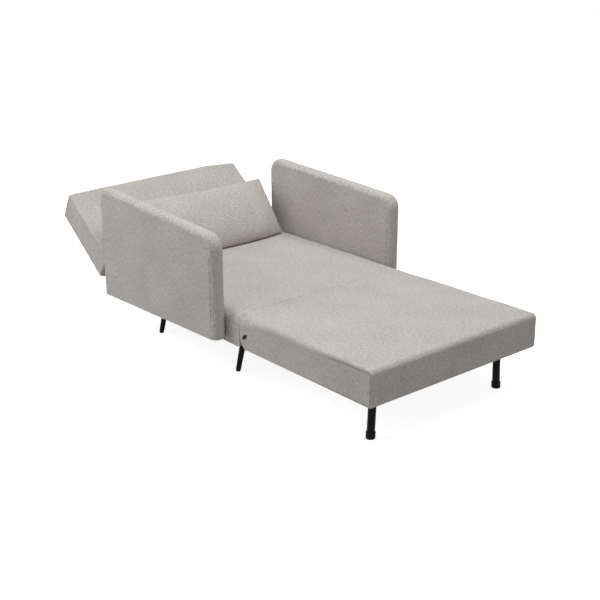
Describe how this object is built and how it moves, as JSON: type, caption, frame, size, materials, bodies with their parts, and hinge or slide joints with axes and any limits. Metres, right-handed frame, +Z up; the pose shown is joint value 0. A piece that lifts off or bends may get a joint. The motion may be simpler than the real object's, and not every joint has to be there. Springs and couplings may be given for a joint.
{
  "type": "convertible chair bed",
  "caption": "Upholstered armchair with slim padded arms, a fold-out front section on black legs, a reclining back and a loose lumbar pillow; it opens out to a single bed.",
  "frame": {"origin": "on the floor, under the middle of the opened chair's bounding box", "axes": "+Z up, +Y towards the reclined back, -Y towards the fold-out front section, +X on the sitter's left"},
  "size_m": [0.868, 1.7616, 0.5683],
  "materials": {
    "upholstery": "woven chenille over foam",
    "frame_wood": "raw",
    "slats_webbing": "raw",
    "dust_cloth": "non-woven",
    "black_metal": "semi-gloss black",
    "steel": "zinc plated",
    "black_plastic": "matte black"
  },
  "bodies": {
    "base": {"arm_board_left": "frame_wood", "arm_board_right": "frame_wood", "arm_bolt_front_left": "steel", "arm_bolt_front_right": "steel", "arm_bolt_rear_left": "steel", "arm_bolt_rear_right": "steel", "arm_cover_left": "upholstery", "arm_cover_right": "upholstery", "leg_glide_mid_left": "black_plastic", "leg_glide_mid_right": "black_plastic", "leg_glide_rear_left": "black_plastic", "leg_glide_rear_right": "black_plastic", "leg_mid_left": "black_metal", "leg_mid_right": "black_metal", "leg_plate_mid_left": "black_metal", "leg_plate_mid_right": "black_metal", "leg_plate_rear_left": "black_metal", "leg_plate_rear_right": "black_metal", "leg_rear_left": "black_metal", "leg_rear_right": "black_metal", "link_plate_seat_left": "steel", "link_plate_seat_right": "steel", "recline_bracket_left": "steel", "recline_bracket_right": "steel", "recline_pin_left": "steel", "recline_pin_right": "steel", "seat_cushion": "upholstery", "seat_dust_cover": "dust_cloth", "seat_frame": "frame_wood", "seat_slats": "slats_webbing"},
    "fold_links": {"fold_link_left": "steel", "fold_link_right": "steel"},
    "front_section": {"front_cushion": "upholstery", "front_frame": "frame_wood", "front_slats": "slats_webbing", "front_under_cover": "upholstery", "link_plate_front_left": "steel", "link_plate_front_right": "steel", "leg_bracket_left": "black_metal", "leg_bracket_right": "black_metal", "leg_pin_left": "steel", "leg_pin_right": "steel"},
    "front_leg_left": {"fold_leg_left": "black_metal", "fold_foot_left": "black_plastic"},
    "front_leg_right": {"fold_leg_right": "black_metal", "fold_foot_right": "black_plastic"},
    "back": {"back_cushion": "upholstery", "back_frame": "frame_wood", "back_slats": "slats_webbing", "back_panel": "upholstery", "recline_arm_left": "steel", "recline_arm_right": "steel"},
    "lumbar_pillow": {"pillow": "upholstery"}
  },
  "joints": [
    {"name": "link_fold", "type": "hinge", "parent": "base", "child": "fold_links", "pos_m": [0, -0.17395, 0.24433], "axis": [-1, 0, 0], "range_deg": [0, 112]},
    {"name": "front_fold", "type": "hinge", "parent": "fold_links", "child": "front_section", "pos_m": [0, -0.27377, 0.204], "axis": [-1, 0, 0], "range_deg": [0, 68]},
    {"name": "leg_fold_left", "type": "hinge", "parent": "front_section", "child": "front_leg_left", "pos_m": [0.28614, -0.79477, 0.173], "axis": [0, 1, 0], "range_deg": [0, 92.6]},
    {"name": "leg_fold_right", "type": "hinge", "parent": "front_section", "child": "front_leg_right", "pos_m": [-0.28614, -0.79477, 0.173], "axis": [0, -1, 0], "range_deg": [0, 92.6]},
    {"name": "back_recline", "type": "hinge", "parent": "base", "child": "back", "pos_m": [0, 0.54923, 0.283], "axis": [1, 0, 0], "range_deg": [-36.8, 41.2], "deforming": ["pillow"]},
    {"name": "pillow_lift", "type": "slide", "parent": "back", "child": "lumbar_pillow", "axis": [0, 0.8007, 0.599], "range_m": [0, 0.15]}
  ],
  "couplings": [
    {"joint": "link_fold", "follows": "front_fold", "ratio": 1.6471},
    {"joint": "pillow_lift", "follows": "front_fold", "m_per_rad": 0.12639}
  ]
}
